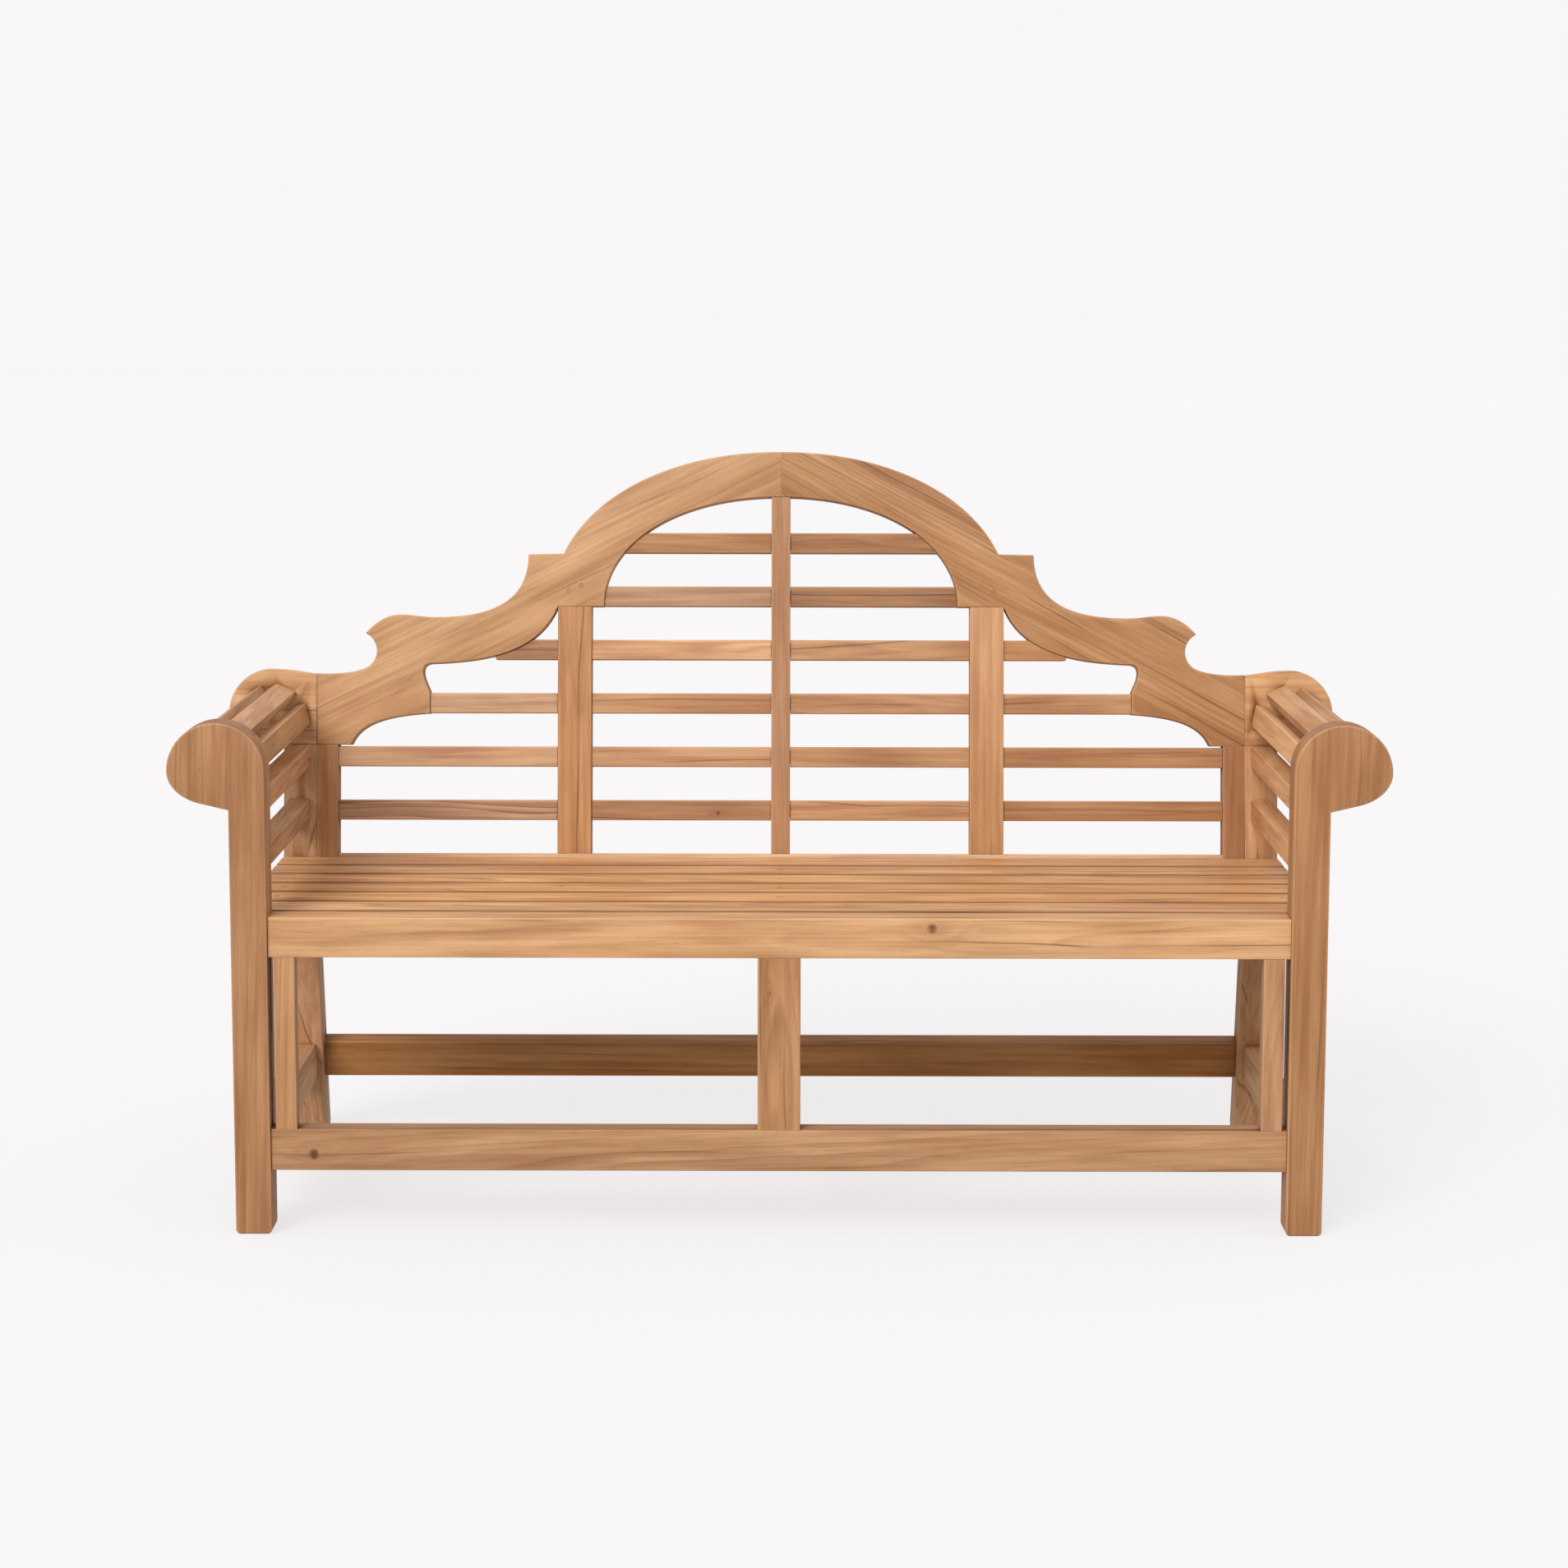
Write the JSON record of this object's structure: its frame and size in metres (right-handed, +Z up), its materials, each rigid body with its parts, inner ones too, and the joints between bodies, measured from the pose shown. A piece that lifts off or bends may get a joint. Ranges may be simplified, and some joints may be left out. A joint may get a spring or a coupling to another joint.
{
  "type": "garden bench",
  "caption": "Wooden garden bench with a stepped, arched slatted back, rolled slatted arms, a flat slatted seat and splayed rear legs.",
  "frame": {"origin": "middle of the footprint, on the ground", "axes": "+X to the right along the bench as seen from the front, +Y from the front towards the back, +Z up"},
  "size_m": [1.642, 0.6522, 1.0333],
  "materials": {
    "teak_uprights": "fine sanded, untreated teak, grain upright",
    "teak_rails": "fine sanded, untreated teak, grain along the rail",
    "teak_slats": "fine sanded, untreated teak, grain along the slat"
  },
  "bodies": {
    "root": {"arm_slat_inner_left": "teak_slats", "arm_slat_inner_right": "teak_slats", "arm_slat_low_left": "teak_slats", "arm_slat_low_right": "teak_slats", "arm_slat_middle_left": "teak_slats", "arm_slat_middle_right": "teak_slats", "arm_slat_outer_left": "teak_slats", "arm_slat_outer_right": "teak_slats", "arm_slat_top_left": "teak_slats", "arm_slat_top_right": "teak_slats", "back_bottom_rail": "teak_rails", "back_muntin": "teak_uprights", "back_outer_stile_left": "teak_uprights", "back_outer_stile_right": "teak_uprights", "back_slat_1_inner_left": "teak_slats", "back_slat_1_inner_right": "teak_slats", "back_slat_2_inner_left": "teak_slats", "back_slat_2_inner_right": "teak_slats", "back_slat_3_inner_left": "teak_slats", "back_slat_3_inner_right": "teak_slats", "back_slat_3_outer_left": "teak_slats", "back_slat_3_outer_right": "teak_slats", "back_slat_4_inner_left": "teak_slats", "back_slat_4_inner_right": "teak_slats", "back_slat_4_outer_left": "teak_slats", "back_slat_4_outer_right": "teak_slats", "back_slat_5_inner_left": "teak_slats", "back_slat_5_inner_right": "teak_slats", "back_slat_5_outer_left": "teak_slats", "back_slat_5_outer_right": "teak_slats", "back_slat_6_inner_left": "teak_slats", "back_slat_6_inner_right": "teak_slats", "back_slat_6_outer_left": "teak_slats", "back_slat_6_outer_right": "teak_slats", "back_top_rail": "teak_rails", "back_wide_stile_left": "teak_uprights", "back_wide_stile_right": "teak_uprights", "front_leg_left": "teak_uprights", "front_leg_right": "teak_uprights", "front_post_left": "teak_uprights", "front_post_middle": "teak_uprights", "front_post_right": "teak_uprights", "front_seat_rail": "teak_rails", "front_stretcher": "teak_rails", "rear_leg_left": "teak_uprights", "rear_leg_right": "teak_uprights", "rear_scroll_block_left": "teak_rails", "rear_scroll_block_right": "teak_rails", "rear_stretcher": "teak_rails", "seat_bearer": "teak_rails", "seat_slat_1": "teak_slats", "seat_slat_2": "teak_slats", "seat_slat_3": "teak_slats", "seat_slat_4": "teak_slats", "seat_slat_5": "teak_slats", "seat_slat_6": "teak_slats", "side_seat_rail_left": "teak_rails", "side_seat_rail_right": "teak_rails", "side_stretcher_left": "teak_rails", "side_stretcher_right": "teak_rails"}
  },
  "joints": []
}
